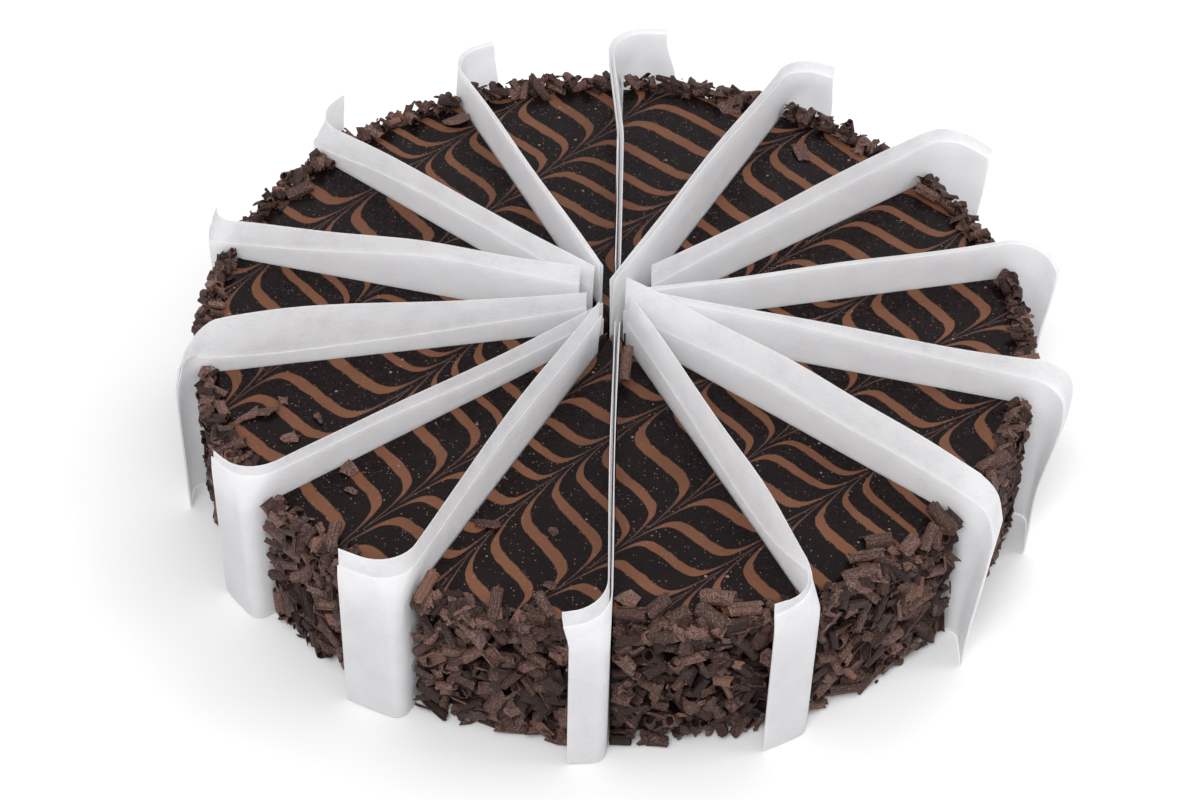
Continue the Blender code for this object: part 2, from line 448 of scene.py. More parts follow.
class Term:
    """A value in a material's nodes that can stand in a sum."""

    def __init__(self, shader, socket):
        self.shader = shader
        self.socket = socket

    def __add__(self, other):
        return self.shader.maths("ADD", self, other)

    __radd__ = __add__

    def __sub__(self, other):
        return self.shader.maths("SUBTRACT", self, other)

    def __rsub__(self, other):
        return self.shader.maths("SUBTRACT", other, self)

    def __mul__(self, other):
        return self.shader.maths("MULTIPLY", self, other)

    __rmul__ = __mul__


class Shader:
    """A material with one Principled surface, and short ways to make its nodes."""

    def __init__(self, name):
        self.material = bpy.data.materials.new(name)
        self.material.use_nodes = True
        self.tree = self.material.node_tree
        self.surface = self.tree.nodes["Principled BSDF"]

    def feed(self, socket, value):
        if isinstance(value, Term):
            self.tree.links.new(value.socket, socket)
        elif socket.type == "RGBA":
            socket.default_value = (*value, 1.0)
        else:
            socket.default_value = value

    def node(self, kind, settings, inputs):
        made = self.tree.nodes.new("ShaderNode" + kind)
        for setting, value in settings.items():
            setattr(made, setting, value)
        for socket, value in inputs.items():
            self.feed(made.inputs[socket], value)
        return made

    def term(self, kind, settings, inputs, output=0):
        return self.output(self.node(kind, settings, inputs), output)

    def output(self, node, name):
        return Term(self, node.outputs[name])

    def maths(self, operation, *values):
        return self.term("Math", {"operation": operation}, dict(enumerate(values)))

    def between(self, value, low, high):
        """0 below low, 1 above high, and smooth between them."""
        settings = {"interpolation_type": "SMOOTHSTEP"}
        return self.term("MapRange", settings, {"Value": value, "From Min": low, "From Max": high})

    def mix(self, share, first, second):
        settings = {"data_type": "RGBA"}
        return self.term("Mix", settings, {0: share, 6: first, 7: second}, 2)

    def layers(self, colour, *layers):
        """The colour with each layer's colour mixed over it by its share, in order."""
        for share, over in layers:
            colour = self.mix(share, colour, over)
        return colour

    def place(self):
        return self.term("TexCoord", {}, {}, "Object")

    def stretched(self, vector, scale):
        return self.term("Mapping", {}, {"Vector": vector, "Scale": scale})

    def attribute(self, name, output="Fac"):
        return self.term("Attribute", {"attribute_name": name}, {}, output)

    def noise(self, vector, scale, detail=2.0):
        return self.term("TexNoise", {}, {"Vector": vector, "Scale": scale, "Detail": detail})

    def specks(self, vector, scale, size, share):
        """Small spots in some of the cells of a Voronoi pattern."""
        cells = self.node("TexVoronoi", {}, {"Vector": vector, "Scale": scale})
        split = self.node("SeparateColor", {}, {0: self.output(cells, "Color")})
        chosen = self.maths("GREATER_THAN", self.output(split, 0), 1.0 - share)
        reach = self.output(split, 1) * size + 0.4 * size
        return self.maths("LESS_THAN", self.output(cells, "Distance"), reach) * chosen

    def bump(self, height, strength, distance):
        return self.term("Bump", {}, {"Height": height, "Strength": strength, "Distance": distance}, "Normal")

    def finish(self, **inputs):
        for socket, value in inputs.items():
            self.feed(self.surface.inputs[socket.replace("_", " ")], value)
        return self.material


def glaze_material(cake):
    """Dark glaze with piped lines that a comb has dragged into feathers."""
    shader = Shader("feathered_glaze")
    place = shader.place()
    feather = shader.term("UVMap", {"uv_map": "feather"}, {})
    split = shader.node("SeparateXYZ", {}, {0: feather})
    wander = shader.noise(place, 240.0) - 0.5
    line = shader.output(split, 0)
    comb = shader.output(split, 1)
    stroke = shader.maths("FLOOR", comb)
    across = comb - stroke
    way = 1.0 - 2.0 * shader.maths("FLOORED_MODULO", stroke, 2.0)  # the strokes run to and fro
    drag = 0.0
    for pull, fade in (SHARP_PULL, WIDE_PULL):
        this_stroke = shader.maths("EXPONENT", across * -fade)
        next_stroke = shader.maths("EXPONENT", (1.0 - across) * -fade)
        drag = (this_stroke - next_stroke) * pull + drag
    pulled = line - way * drag + wander * 0.12
    # 0 in the middle of a piped line, 0.5 half-way to the next
    off_line = shader.maths("ABSOLUTE", shader.maths("FRACT", pulled + 0.5) - 0.5)
    on_line = 1.0 - shader.between(off_line, 0.122, 0.160)
    tail = shader.between(this_stroke + next_stroke, 0.45, 0.80)  # near the strokes, by the wider fade
    cloud = shader.noise(place, 90.0, 3.0)
    dark = shader.mix(shader.between(cloud, 0.35, 0.75), cake.glaze, scaled(cake.glaze, 1.35))
    piped = shader.mix(shader.between(cloud, 0.30, 0.70), scaled(cake.piped, 0.86), cake.piped)
    piped = shader.mix(tail, piped, cake.dragged)
    dust = shader.specks(place, 1150.0, 0.19, 0.36)
    crumbs = shader.specks(place, 340.0, 0.12, 0.13)
    dotted = shader.maths("MAXIMUM", dust * 0.75, crumbs * 0.95)
    colour = shader.layers(dark, (on_line * (1.0 - 0.25 * tail), piped), (dotted, CRUMB_DUST))
    grain = shader.noise(place, 900.0, 3.0)
    return shader.finish(
        Base_Color=colour,
        Roughness=0.20 + 0.16 * grain + 0.10 * on_line,
        Specular_IOR_Level=0.10,
        Normal=shader.bump(shader.noise(place, 55.0) + on_line * 0.12, 0.25, 0.0006),
    )


def coat_material(cake):
    """The glaze where it runs down the side, under the curls."""
    shader = Shader("glazed_side")
    place = shader.place()
    lumps = shader.noise(place, 420.0, 3.0)
    colour = shader.mix(shader.between(lumps, 0.40, 0.75), scaled(cake.glaze, 0.8), SIDE_GLAZE)
    return shader.finish(
        Base_Color=colour,
        Roughness=0.26 + 0.25 * lumps,
        Specular_IOR_Level=0.20,
        Normal=shader.bump(lumps, 0.7, 0.0012),
    )


def truffle_material(cake):
    """Dense, slightly crumbly cake on the cut faces."""
    shader = Shader("truffle_cut")
    place = shader.place()
    crumb = shader.noise(place, 700.0, 5.0)
    holes = shader.specks(place, 450.0, 0.30, 0.35)
    colour = shader.mix(shader.between(crumb, 0.35, 0.70), scaled(cake.truffle, 0.7), cake.truffle)
    # the air holes, sunk into the bump, are painted darker: painted shade
    colour = shader.mix(holes * 0.6, colour, TRUFFLE_HOLE_SHADE)
    return shader.finish(
        Base_Color=colour, Roughness=0.62 + 0.2 * crumb, Normal=shader.bump(crumb - holes * 0.4, 0.6, 0.0008)
    )


def curl_material(curls):
    """Matt chocolate with a dusty, mottled bloom, drawn out along each curl."""
    shader = Shader("chocolate_curl")
    grain = shader.attribute("grain", "Vector")
    shade = shader.attribute("shade")
    ridges = shader.noise(shader.stretched(grain, (0.7, 2.0, 2.0)), 1.0, 3.0)
    mottle = shader.noise(grain, 1.5, 4.0)
    dust = shader.noise(grain, 3.2, 2.0)
    # each piece's tone from its shade: random, and darker deep in the coat as painted shade, where it also
    # gets less bloom
    tone = shader.mix(shade, scaled(curls.plain, 0.28), scaled(curls.plain, 1.5))
    tint = shader.maths("FRACT", shade * 7.31)
    bloomed = shader.between(0.5 * mottle + dust + 0.20 * shade, 0.87, 0.99)
    fresh = shader.between(ridges + 0.25 * shade, 0.70, 0.86)
    warm = shader.maths("GREATER_THAN", shade, 0.93)
    flecks = shader.specks(grain, 2.8, 0.30, 0.40)
    # dark spots sunk into the bump: painted shade in small dents
    pits = shader.specks(grain, 2.2, 0.30, 0.40)
    colour = shader.layers(
        tone,
        (shader.between(tint, 0.60, 1.0) * 0.5, curls.cool),
        (bloomed * (0.16 + 0.44 * shade), curls.bloom),
        (fresh * 0.30, curls.fresh),
        (warm * 0.6, curls.fresh),
        (flecks * (0.10 + 0.30 * shade), curls.bloom),
        (pits * 0.65, scaled(curls.plain, 0.3)),
    )
    return shader.finish(
        Base_Color=colour,
        Roughness=0.40 + 0.34 * mottle,
        Specular_IOR_Level=0.28,
        Normal=shader.bump(1.4 * ridges + 0.8 * dust - 0.6 * pits, 0.85, 0.0004),
    )


def paper_material(papers):
    """Waxed paper: cloudy, a little see-through, and painted greyer where one layer stands alone, as painted
    shade of the dark cake behind it.
    """
    shader = Shader("waxed_paper")
    place = shader.place()
    cloud = shader.noise(place, 160.0, 5.0)
    fibre = shader.noise(shader.stretched(place, (1.0, 1.0, 3.0)), 700.0, 3.0)
    over = shader.attribute("over_edge")
    # painted shade where one layer stands alone, the dark cake seeming to show through; the paper's own
    # clouds are also painted stronger there
    alone = shader.between(over, -0.15, 0.25)
    mottled = shader.between(0.5 * cloud + 0.6 * fibre, 0.48, 0.70)
    edge = shader.between(shader.maths("ABSOLUTE", over + 0.25), 0.35, 0.10)
    colour = shader.layers(
        papers.sheet,
        (alone, papers.single),
        (mottled * (0.25 + 0.35 * alone), PAPER_CLOUDS),
        (edge * 0.6, PAPER_EDGE),
    )
    material = shader.finish(
        Base_Color=colour,
        Roughness=0.42 + 0.2 * cloud,
        Alpha=0.72,
        Specular_IOR_Level=0.30,
        Normal=shader.bump(cloud + 0.3 * fibre + 4.0 * shader.noise(place, 40.0), 0.5, 0.0006),
    )
    through = shader.term("BsdfTranslucent", {}, {"Color": papers.sheet})
    surface = shader.output(shader.surface, 0)
    both = shader.term("MixShader", {}, {0: papers.glow, 1: surface, 2: through})
    shader.feed(shader.tree.nodes["Material Output"].inputs["Surface"], both)
    return material


def floor_material(studio):
    shader = Shader("studio_floor")
    cloud = shader.noise(shader.place(), 3.0, 2.0)
    colour = shader.mix(cloud, scaled(studio.floor, 0.985), studio.floor)
    return shader.finish(Base_Color=colour, Roughness=0.75, Specular_IOR_Level=0.2)


# -------- the slices


def whole_cake(cake):
    """The uncut cake: rings of points extruded from one circle, inwards over the top and down the side."""
    deselect_all()
    edge = (cake.glaze_edge, cake.glaze_height)
    bpy.ops.mesh.primitive_circle_add(vertices=AROUND, radius=edge[0], location=(0.0, 0.0, edge[1]))
    whole = bpy.context.object
    bpy.ops.object.transform_apply(location=True)
    edit_all(whole)
    bpy.ops.mesh.select_mode(type="EDGE")
    ring = edge
    while ring[0] > 1.5 * RING_STEP:
        smaller = (ring[0] - RING_STEP, ring[1])
        extrude_ring(ring, smaller)
        ring = smaller
    bpy.ops.mesh.extrude_region_move()
    bpy.ops.mesh.merge(type="CENTER")
    select_rim(edge[0] - 0.5 * RING_STEP)
    ring = edge
    for radius, below in EDGE_PROFILE:
        lower = (radius * MM, cake.glaze_height - below * MM)
        extrude_ring(ring, lower)
        ring = lower
    for radius in BASE_RINGS:
        inner = (radius * MM, ring[1])
        extrude_ring(ring, inner)
        ring = inner
    bpy.ops.mesh.extrude_region_move()
    bpy.ops.mesh.merge(type="CENTER")
    face_outwards()
    widen_back(whole)
    roughen_side(whole, cake)
    return whole


def widen_back(whole):
    """Pushes the edge and the side outwards, most at the back."""
    for vertex in whole.data.vertices:
        radius = vertex.co.xy.length
        share = limited((radius - SWELLS_FROM) / SWELLS_OVER)
        if share > 0.0:
            swell = share * back_swell(math.atan2(-vertex.co.x, -vertex.co.y))
            vertex.co.xy *= 1.0 + swell / radius


def roughen_side(whole, cake):
    """Makes the side uneven, apart from a narrow band at its foot and one at its top."""
    lowest, highest = 1 * MM, cake.glaze_height - 1.5 * MM
    side = [v for v in whole.data.vertices if v.co.xy.length > ROUGH_SIDE_FROM and lowest < v.co.z < highest]
    whole.vertex_groups.new(name="side").add([v.index for v in side], 1.0, "ADD")
    lumps = bpy.data.textures.new("side_lumps", "CLOUDS")
    lumps.noise_scale = ROUGHNESS_ACROSS
    apply_modifier(whole, "DISPLACE", texture=lumps, vertex_group="side", strength=cake.relief)


def cut_slice(whole, number, cake, looks):
    """A copy of the whole cake, cut away on both sides, each cut face closed."""
    piece = whole.copy()
    piece.data = whole.data.copy()
    piece.name = piece.data.name = f"cake_slice_{number + 1:02d}"
    bpy.context.scene.collection.objects.link(piece)
    piece.vertex_groups.clear()
    edit_all(piece)
    planes = []
    for divider, side in ((number, -1.0), (number + 1, 1.0)):
        away = clockwise(bearing_of(divider)) * side
        planes.append((away * -cake.half_cut, away))
        bpy.ops.mesh.select_all(action="SELECT")
        bpy.ops.mesh.bisect(plane_co=planes[-1][0], plane_no=away, use_fill=True, clear_outer=True)
    bpy.ops.object.mode_set(mode="OBJECT")
    for look in looks:
        piece.data.materials.append(look)
    for face in piece.data.polygons:
        on_cut = any(
            abs(face.normal.dot(away)) > 0.99 and abs((face.center - place).dot(away)) < 0.01 * MM
            for place, away in planes
        )
        on_top = face.normal.z > 0.5 and face.center.z > cake.glaze_height - TOP_DEPTH
        face.material_index = 2 if on_cut else 0 if on_top else 1
    smooth_to(piece, 40)
    return piece


def through_points(xs, rows, at):
    """For each row of values at xs, the polynomial through them, at the places asked for."""
    return [np.polyval(np.polyfit(xs, row, len(xs) - 1), at) for row in rows]


def count_past(levels, value):
    """How many levels each value has passed, with the share of the next. Each value has its own levels."""
    counted = np.zeros(len(value))
    for low, high in zip(levels[:-1], levels[1:]):
        counted += np.clip((value - low) / (high - low), 0.0, 1.0)
    counted += np.minimum(0.0, (value - levels[0]) / (levels[1] - levels[0]))
    counted += np.maximum(0.0, (value - levels[-1]) / (levels[-1] - levels[-2]))
    return counted


def map_feather(piece):
    """A UV map that counts the piped lines and the comb strokes."""
    mesh = piece.data
    corners = np.empty(len(mesh.loops), dtype=np.int32)
    mesh.loops.foreach_get("vertex_index", corners)
    places = np.empty(len(mesh.vertices) * 3)
    mesh.vertices.foreach_get("co", places)
    places = places.reshape(-1, 3)[corners] / MM
    along = (places[:, 0] + places[:, 1]) / math.sqrt(2.0)
    across = (places[:, 0] - places[:, 1]) / math.sqrt(2.0)
    lines = count_past(through_points(PIPED_AT, PIPED_LINES, across), along)
    strokes = count_past(through_points(STROKE_PLACES, COMB_STROKES, along), across) + FIRST_STROKE
    layer = mesh.uv_layers.new(name="feather")
    layer.data.foreach_set("uv", np.column_stack((lines, strokes)).ravel())


# -------- curls, shards and crumbs


def take_shape(piece):
    """The points and faces of a modelled shape, which is then removed."""
    mesh = piece.data
    points = np.array([v.co for v in mesh.vertices])
    faces = [tuple(face.vertices) for face in mesh.polygons]
    bpy.data.objects.remove(piece)
    bpy.data.meshes.remove(mesh)
    return points, faces


def shaving(parts, lengths, wall, bent):
    """A shaving of chocolate, one unit long: a flat grid, bent and given its wall."""
    deselect_all()
    bpy.ops.mesh.primitive_grid_add(x_subdivisions=parts, y_subdivisions=lengths, size=1.0)
    piece = bpy.context.object
    for vertex in piece.data.vertices:
        vertex.co = bent(vertex.co.x + 0.5, vertex.co.y)
    apply_modifier(piece, "SOLIDIFY", thickness=wall, offset=0.0)
    edit_all(piece)
    face_outwards()
    return take_shape(piece)


def rolled_shape(chance):
    """A shaving rolled up on itself, one unit long and about one across."""
    turns = chance.uniform(1.15, 1.6)
    ragged = [chance.uniform(-0.05, 0.05) for _ in range(40)]
    tight = chance.uniform(0.33, 0.41)

    def bent(share, along):
        angle = turns * math.tau * share
        radius = tight + (0.50 - tight) * share
        slip = ragged[int(share * 12.4)] + 0.06 * (share - 0.5)
        slanted = along * (1.0 + 0.10 * math.sin(7 * share))
        return (slanted + slip, radius * math.cos(angle), radius * math.sin(angle))

    return shaving(10, 1, 0.12, bent)


def open_shape(chance):
    """A shaving that has only half rolled up: a gutter with uneven ends."""
    arc = math.radians(chance.uniform(120, 250))
    ragged = [chance.uniform(-0.09, 0.09) for _ in range(40)]

    def bent(share, along):
        angle = arc * (share - 0.5)
        slip = ragged[int(share * 9.4) + (20 if along > 0 else 0)]
        return (along + slip, 0.5 * math.sin(angle), 0.5 * math.cos(angle) - 0.25)

    return shaving(5, 1, 0.13, bent)


def shard_shape(chance):
    """A flat, broken flake, slightly bowed."""
    skew = chance.uniform(-0.28, 0.28)
    pinch = chance.uniform(0.30, 0.95)
    bow = chance.uniform(-0.8, 1.4)
    jog = [chance.uniform(-0.12, 0.12) for _ in range(9)]

    def bent(share, along):
        corner = int(share * 2.1) * 3 + int((along + 0.5) * 2.1)
        width = pinch + (1.0 - pinch) * (along + 0.5)
        side = (share - 0.5) * width
        bowed = bow * (1.0 - 4.0 * (share - 0.5) ** 2)
        return (along + skew * side + jog[corner], side + jog[corner - 4], bowed)

    return shaving(2, 2, 1.0, bent)


def crumb_shape(chance):
    """A crumb: a cube knocked out of shape."""
    deselect_all()
    bpy.ops.mesh.primitive_cube_add(size=1.0)
    piece = bpy.context.object
    for vertex in piece.data.vertices:
        vertex.co = [c * chance.uniform(0.55, 1.1) for c in vertex.co]
    return take_shape(piece)


# Kinds of piece: the name of their mesh, how one is shaped, and how many shapes there are
PILES = {
    "rolled": ("rolled_curls", rolled_shape, 6),
    "open": ("open_curls", open_shape, 6),
    "shard": ("chocolate_shards", shard_shape, 8),
    "crumb": ("chocolate_crumbs", crumb_shape, 6),
}


class Bed:
    """A strip of the coat as heights on a grid, on which each new curl comes to lie on those before.

    A place on it is (distance round the cake, distance over the strip). The ground function gives the bare
    height at a bearing and a distance over the strip."""

    def __init__(self, radius, low, high, ground):
        self.radius = radius
        self.low = low
        count = max(1, round((high - low) / CELL))
        self.columns = round(math.tau * radius / CELL)
        rows = [low + (j + 0.5) * CELL for j in range(count)]
        bearings = [(i + 0.5) * CELL / radius for i in range(self.columns)]
        self.heights = np.array([[ground(bearing, row) for row in rows] for bearing in bearings])

    def cells(self, points):
        i = np.floor(points[:, 0] / CELL).astype(int) % self.columns
        j = np.clip(np.floor((points[:, 1] - self.low) / CELL).astype(int), 0, self.heights.shape[1] - 1)
        return i, j

    def level_at(self, spot):
        return self.heights[self.cells(np.array([spot]))][0]

    def lay(self, spot, heading, size, steepest, sink):
        """How a piece of size (length, width, thickness) would lie at a spot: its base, its slope, and the
        cells it covers with its top over each. It may press into a share of what lies under it, the sink."""
        length, width, thick = size
        along = np.linspace(-0.5, 0.5, 7).repeat(3) * length
        aside = np.tile([-0.32, 0.0, 0.32], 7) * width
        points = np.column_stack((
            spot[0] + along * math.cos(heading) - aside * math.sin(heading),
            spot[1] + along * math.sin(heading) + aside * math.cos(heading),
        ))
        i, j = self.cells(points)
        under = self.heights[i, j]
        start = np.sort(under[:9])[-3:].mean()
        end = np.sort(under[-9:])[-3:].mean()
        slope = math.atan2(end - start, 0.75 * length)
        slope = max(-steepest, min(steepest, slope))
        line = along * math.tan(slope)
        base = np.quantile(under - line, 1.0 - sink)
        return base, slope, ((i, j), base + line + 0.85 * thick)

    def settle(self, cells, top):
        self.heights[cells] = np.maximum(self.heights[cells], top)


class Pile:
    """The pieces of one kind, gathered into one mesh."""

    def __init__(self, shapes):
        self.shapes = shapes  # each as (points, faces)
        self.points = []
        self.faces = []
        self.grain = []
        self.shade = []
        self.count = 0

    def add(self, chance, turned, place, size, keep_in, open_air):
        """Adds one piece: a random one of the shapes, scaled, turned, put in place and kept in.

        open_air is 0 for a piece deep in the coat, 1 for one on top of it, and more for one on its own. The
        piece's shade is random, but kept darker the deeper it lies: painted shade."""
        shape, faces = self.shapes[chance.randrange(len(self.shapes))]
        sized = shape * np.array(size)
        points = keep_in(sized @ np.array(turned).T + np.array(place))
        if points is None:
            return False
        self.points.append(points)
        self.faces.extend(tuple(self.count + corner for corner in face) for face in faces)
        offset = np.array([chance.uniform(0, 90) for _ in range(3)])
        self.grain.append(sized / MM + offset)
        # painted shade: the deeper a piece lies in the coat, the darker its shade can be
        shade = chance.uniform(max(0.0, open_air - 1.0), 0.25 + 0.75 * min(1.0, open_air))
        self.shade.append(np.full(len(points), shade))
        self.count += len(points)
        return True

    def piece(self, name, look):
        """Makes the pile one mesh, with each point's place on its own piece and each piece's shade, random
        with painted shade for depth.
        """
        mesh = bpy.data.meshes.new(name)
        mesh.from_pydata(np.concatenate(self.points).tolist(), [], self.faces)
        mesh.materials.append(look)
        made = bpy.data.objects.new(name, mesh)
        bpy.context.scene.collection.objects.link(made)
        set_attribute(made, "grain", np.concatenate(self.grain))
        set_attribute(made, "shade", np.concatenate(self.shade))
        smooth_to(made, 50)
        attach(made, "root")


def turned_frame(length_way, up_way, roll):
    """Columns for a piece's length, width and thickness, rolled about its length."""
    x = length_way.normalized()
    y = up_way.cross(x).normalized()
    z = x.cross(y)
    base = Matrix((x, y, z)).transposed()
    return base @ Matrix.Rotation(roll, 3, "X")


def keeper(bearing, lowest, highest):
    """A function that moves a piece into its slice and off the floor, or gives None if it can't."""
    number = min(range(SLICES), key=lambda k: (bearing - bearing_of(k)) % math.tau)
    sides = ((number, 1.0), (number + 1, -1.0))
    normals = [np.array(clockwise(bearing_of(divider)) * way) for divider, way in sides]
    up = np.array(UP)

    def keep_in(points):
        for _ in range(2):
            for normal in normals:
                points = points + normal * max(0.0, CUT_ROOM - (points @ normal).min())
        if min((points @ normal).min() for normal in normals) < 0.9 * CUT_ROOM:
            return None
        reach = np.hypot(points[:, 0], points[:, 1]).max()
        middle = points.mean(axis=0)
        away = np.array(outward(math.atan2(-middle[0], -middle[1])))
        points = points - away * max(0.0, reach - COAT_REACH)
        points = points + up * max(0.0, lowest - points[:, 2].min())
        return points - up * max(0.0, points[:, 2].max() - highest)

    return keep_in


def piece_size(chance, kind, curls):
    """Scale of a piece (for its shape) and the room it takes (for the bed)."""
    length, width = KINDS[kind]
    long_ = curls.roll_length * chance.uniform(*length)
    wide = curls.roll_across * chance.uniform(*width)
    if kind == "rolled":
        deep, room = wide, 0.95 * wide
    elif kind == "open":
        deep = wide * chance.uniform(0.7, 1.0)
        room = 0.55 * deep
    elif kind == "shard":
        deep = curls.roll_across * SHARD_THICKNESS * chance.uniform(0.8, 1.3)
        room = 2.0 * deep
    else:
        deep, room = 0.7 * wide, 0.5 * wide
    return (long_, wide, deep), (long_, wide, room)


def random_roll(chance, kind):
    """How far a piece is rolled about its length: by any angle, or by a small one if it is flat."""
    return chance.uniform(0, math.tau) if kind in ("rolled", "crumb") else chance.gauss(0.0, 0.35)


def lay_side(chance, piles, curls, cake):
    """Drops pieces on the side of the cake until it is well covered."""
    radius = SIDE_RADIUS * MM
    around = math.tau * radius
    bed = Bed(radius, 0.0, cake.glaze_height, lambda bearing, height: back_swell(bearing))
    lowest, highest = 0.5 * MM, cake.glaze_height + 0.8 * MM
    for drop in range(curls.drops):
        kind = chance.choices(tuple(KINDS), SIDE_MIX[int(4 * drop / curls.drops)])[0]
        size, room = piece_size(chance, kind, curls)
        spots = [(chance.uniform(0, around), chance.uniform(lowest, highest)) for _ in range(3)]
        spot = min(spots, key=bed.level_at)
        heading = chance.gauss(0.0, 0.75) if chance.random() < 0.6 else chance.uniform(0.0, math.tau)
        base, slope, covered = bed.lay(spot, heading, room, steepest=math.radians(34), sink=0.10)
        bearing = spot[0] / radius
        swell = back_swell(bearing)
        if base + 0.9 * room[2] > SIDE_DEPTH + 0.2 * swell:
            continue
        away = outward(bearing)
        length_way = swung(swung(clockwise(bearing), UP, heading), away, slope)
        roll = random_roll(chance, kind)
        if kind == "open" and chance.random() < 0.35:
            roll += math.pi
        turned = turned_frame(length_way, away, roll)
        place = place_at(bearing, radius + base + 0.5 * room[2], spot[1])
        keep_in = keeper(bearing, 0.3 * MM, cake.glaze_height + 1.5 * MM)
        # how near the top of the coat the piece lies, which darkens deeper pieces as painted shade
        open_air = limited((base - swell + room[2]) / (SIDE_DEPTH - swell))
        if piles[kind].add(chance, turned, place, size, keep_in, open_air):
            bed.settle(*covered)


def lay_rim(chance, piles, curls, cake):
    """Drops pieces along the edge of the top, in a thicker row at the back."""
    around = math.tau * RIM_MIDDLE

    def ground(bearing, out):
        return -RIM_FALL * max(0.0, out - RIM_FALLS_FROM - back_swell(bearing))

    bed = Bed(RIM_MIDDLE, *RIM_BED, ground)
    for _ in range(curls.rim_drops):
        at = chance.uniform(0, around)
        bearing = at / RIM_MIDDLE
        behind = back_share(bearing)
        inner = (RIM_INNER + RIM_INNER_BACK * behind) * MM
        out = chance.triangular(inner - 2.0 * MM, RIM_OUTER, RIM_DENSEST)
        kind = chance.choices(tuple(KINDS), RIM_MIX)[0]
        size, room = piece_size(chance, kind, curls)
        small = chance.uniform(0.6, 0.95)
        size, room = scaled(size, small), scaled(room, small)
        heading = chance.uniform(0.0, math.tau)
        base, slope, covered = bed.lay((at, out), heading, room, steepest=math.radians(40), sink=0.30)
        cap = RIM_FLAT if out < inner else (RIM_HEIGHT[0] + RIM_HEIGHT[1] * behind) * MM
        if base + 0.7 * room[2] > cap:
            continue
        flat = swung(clockwise(bearing), outward(bearing), heading)
        slope += chance.uniform(0.1, 0.9) * behind if chance.random() < 0.4 else 0.0
        turned = turned_frame(swung(flat, UP, slope), UP, random_roll(chance, kind))
        place = place_at(bearing, out, cake.glaze_height + base + 0.5 * room[2])
        keep_in = keeper(bearing, 1 * MM, cake.glaze_height + cap + (1.0 + 1.5 * behind) * MM)
        if piles[kind].add(chance, turned, place, size, keep_in, 1.0):
            bed.settle(*covered)


def lay_standing_out(chance, piles, cake):
    """Lays the pieces that stand out in their places."""
    for kind, x, y, above, heading, rise, length, width in STANDING_OUT:
        heading = math.radians(heading)
        level = Vector((math.cos(heading), math.sin(heading), 0.0))
        length_way = swung(level, UP, math.radians(rise))
        deep = {"rolled": width, "open": 0.9 * width, "shard": 0.5}[kind]
        turned = turned_frame(length_way, UP, chance.uniform(-0.3, 0.3))
        place = Vector((x * MM, y * MM, cake.glaze_height + above * MM))
        keep_in = keeper(math.atan2(-x, -y), 1 * MM, cake.glaze_height + 12 * MM)
        piles[kind].add(chance, turned, place, (length * MM, width * MM, deep * MM), keep_in, 1.4)


def fill_back(chance, piles, curls, cake):
    """Tucks small pieces in under the row at the back, where it leaves gaps."""
    for _ in range(curls.back_drops):
        bearing = chance.uniform(*BACK_BEARINGS)
        out = RIM_INNER * MM + back_swell(bearing) + chance.uniform(0.0, 1.8 * MM)
        kind = chance.choices(("open", "shard", "crumb"), (2, 4, 3))[0]
        size = piece_size(chance, kind, curls)[0]
        length_way = clockwise(bearing) + 0.6 * outward(bearing) * chance.uniform(-1.0, 1.0)
        turned = turned_frame(length_way, UP, chance.uniform(0.0, math.tau))
        place = place_at(bearing, out, cake.glaze_height + chance.uniform(-1.0, 0.4) * MM)
        keep_in = keeper(bearing, 1 * MM, cake.glaze_height + 1.6 * MM)
        # tucked-in pieces are given a darker painted shade under the row
        piles[kind].add(chance, turned, place, scaled(size, 0.7), keep_in, 0.5)


# -------- the paper dividers


def fold_path(inner, start, radius, reach, turn):
    """A sheet's plan, as (outward, clockwise): the straight run, round the fold and along the flap."""
    way = math.copysign(1.0, turn)
    turn = abs(turn)
    run = start - inner
    places = [(inner + run * part / STRAIGHT_COLUMNS, 0.0) for part in range(STRAIGHT_COLUMNS)]
    for part in range(FOLD_COLUMNS + 1):
        angle = turn * part / FOLD_COLUMNS
        places.append((start + radius * math.sin(angle), way * radius * (1.0 - math.cos(angle))))
    flap = reach - (start - FOLD_START) - radius * turn
    step = max(flap, 2 * MM) / FLAP_COLUMNS
    heading = turn
    for _ in range(FLAP_COLUMNS):
        heading += 0.5 * step / FOLD_START
        along, across = places[-1]
        places.append((along + step * math.cos(heading), across + way * step * math.sin(heading)))
        heading += 0.5 * step / FOLD_START
    return np.array(places)


def sides_of(path):
    """The unit vector across the path at each of its places."""
    ahead = np.gradient(path, axis=0)
    ahead /= np.linalg.norm(ahead, axis=1)[:, None]
    return np.column_stack((-ahead[:, 1], ahead[:, 0]))


def top_edge(heights, path):
    """The height of a layer's top edge at each place of the path, smoothly through its stations."""
    lengths = np.concatenate(([0.0], np.cumsum(np.linalg.norm(np.diff(path, axis=0), axis=1))))
    run = lengths[STRAIGHT_COLUMNS]
    stations = [share * run for share in LAYER_STATIONS] + [lengths[-1]]
    fine = np.interp(lengths, stations, heights)
    for _ in range(6):
        fine[1:-1] = 0.25 * fine[:-2] + 0.5 * fine[1:-1] + 0.25 * fine[2:]
    return fine * MM


def sheet_plans(number):
    """A sheet's plan where the cake shapes its fold, where the fold is loose, and how high it loosens."""
    _, inner, turn, reach, *_ = DIVIDERS[number]
    start, loosens_at = LOOSE_START, LOOSENING[0]
    if number in FLARED:
        start, loosens_at = (value * MM for value in FLARED[number])
    turn = math.radians(turn)
    tight = fold_path(inner * MM, FOLD_START, FOLD_RADIUS, reach * MM, turn)
    loose = fold_path(inner * MM, start, LOOSE_RADIUS, reach * MM, turn)
    past = abs(loose[-1][1]) - abs(tight[-1][1])
    loose = fold_path(inner * MM, start, LOOSE_RADIUS, reach * MM - past, turn)
    return tight, loose, loosens_at


